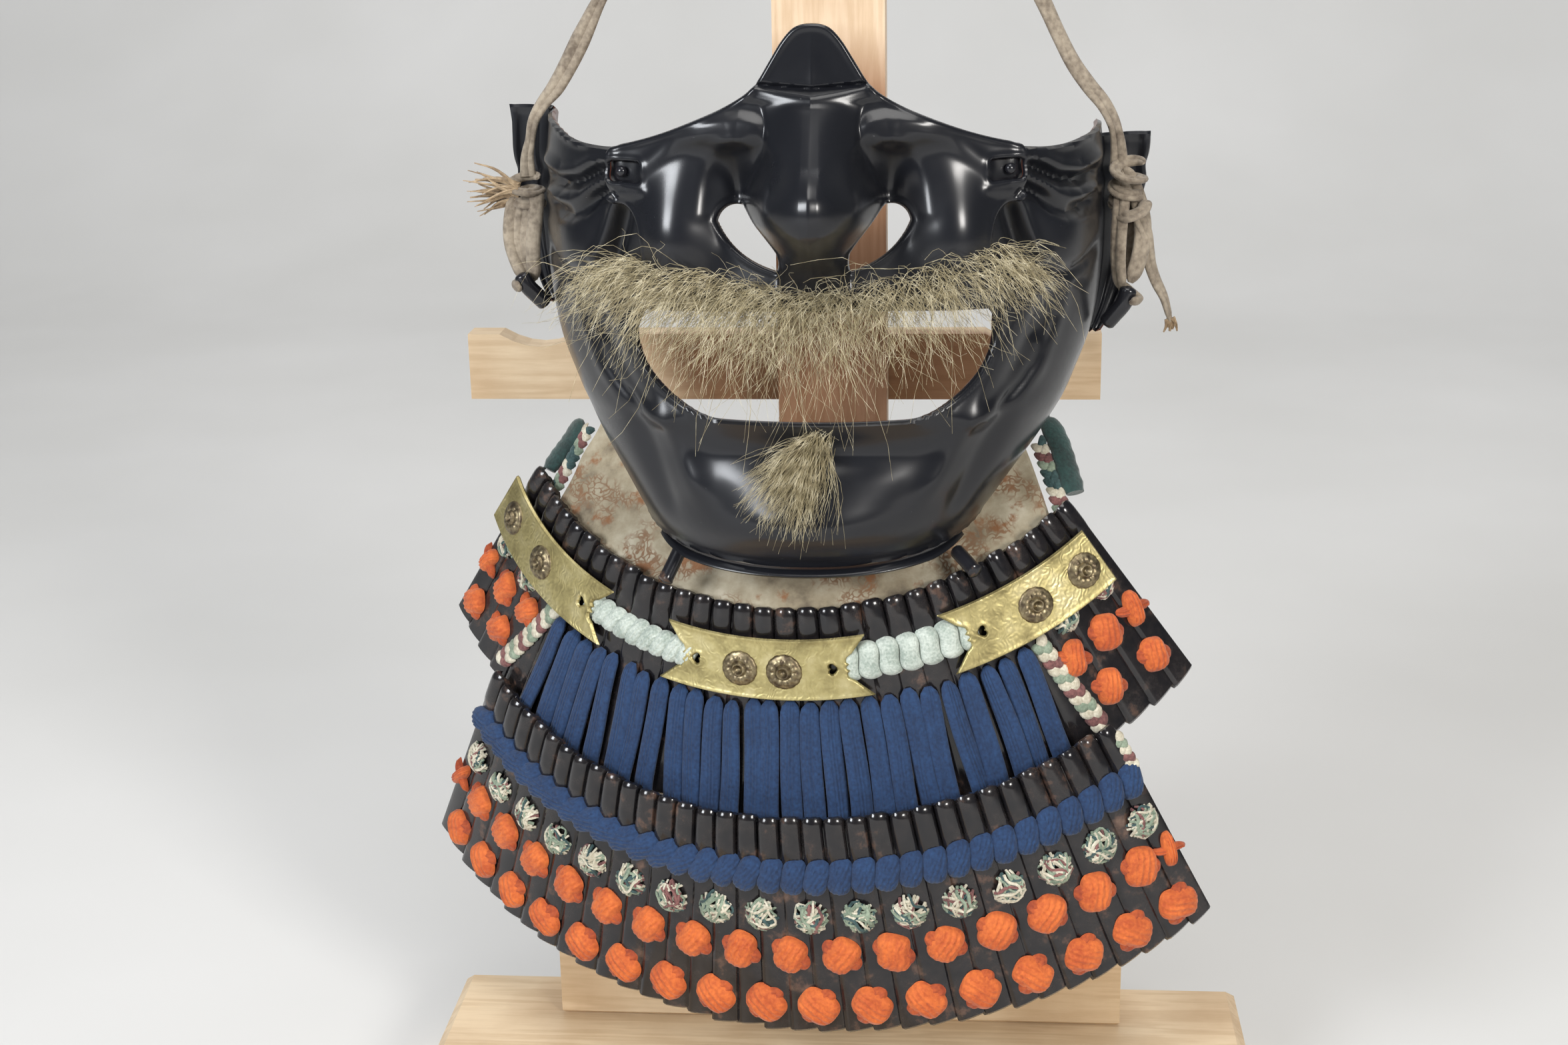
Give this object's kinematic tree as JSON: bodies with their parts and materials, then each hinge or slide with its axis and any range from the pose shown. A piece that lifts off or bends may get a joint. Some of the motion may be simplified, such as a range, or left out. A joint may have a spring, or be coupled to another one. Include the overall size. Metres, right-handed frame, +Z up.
{
  "type": "lacquered samurai half mask with laced throat guard on a wooden stand",
  "caption": "Black lacquered half face mask with a removable nose plate, hair moustache and a laced two-tier throat guard, hung by its cord on a wooden stand.",
  "frame": {"origin": "middle of the footprint, on the surface the stand rests on", "axes": "+Z up, the mask faces -Y, +X to the right of someone facing the mask"},
  "size_m": [0.2368, 0.1586, 0.378],
  "materials": {
    "pine": "bare planed softwood, waxed lightly",
    "lacquer": "deep black-brown lacquer with a soft shine, brown where worn",
    "hair": "bristle hair, tan",
    "hemp": "twisted hemp cord, grey-brown",
    "leather": "printed doe leather, mottled and worn",
    "dark_cloth": "dark green cloth piping",
    "mottled_silk": "multicolour braided silk",
    "blue_silk": "flat braided silk, indigo blue",
    "pale_silk": "twisted silk braid, pale grey-green",
    "brass": "engraved brass, slightly tarnished",
    "orange_silk": "knotted silk, orange"
  },
  "bodies": {
    "root": {"base_board": "pine", "foot_block": "pine", "post": "pine", "crossbar": "pine", "mask_bowl": "lacquer", "nose_plate": "lacquer", "stud_left": "lacquer", "stud_right": "lacquer", "chin_rim": "lacquer", "peg_left": "lacquer", "peg_right": "lacquer", "ear_flange_left": "lacquer", "ear_flange_right": "lacquer", "lug_left": "lacquer", "lug_right": "lacquer", "moustache": "hair", "goatee": "hair", "hanging_cord": "hemp", "cord_tail": "hemp", "cord_knot_left": "hemp", "cord_knot_right": "hemp", "cord_frayed_end": "hemp", "tier_upper": "lacquer", "tier_lower": "lacquer", "collar_leather": "leather", "collar_braid_left": "mottled_silk", "collar_rim_left": "dark_cloth", "collar_braid_right": "mottled_silk", "collar_rim_right": "dark_cloth", "blue_lacing": "blue_silk", "edge_braid_left": "mottled_silk", "edge_braid_right": "mottled_silk", "blue_braid": "blue_silk", "pale_braid_left": "pale_silk", "pale_braid_right": "pale_silk", "brass_plate_left": "brass", "rivet_left_1": "brass", "rivet_left_2": "brass", "brass_plate_middle": "brass", "rivet_middle_1": "brass", "rivet_middle_2": "brass", "brass_plate_right": "brass", "rivet_right_1": "brass", "rivet_right_2": "brass"}
  },
  "joints": []
}
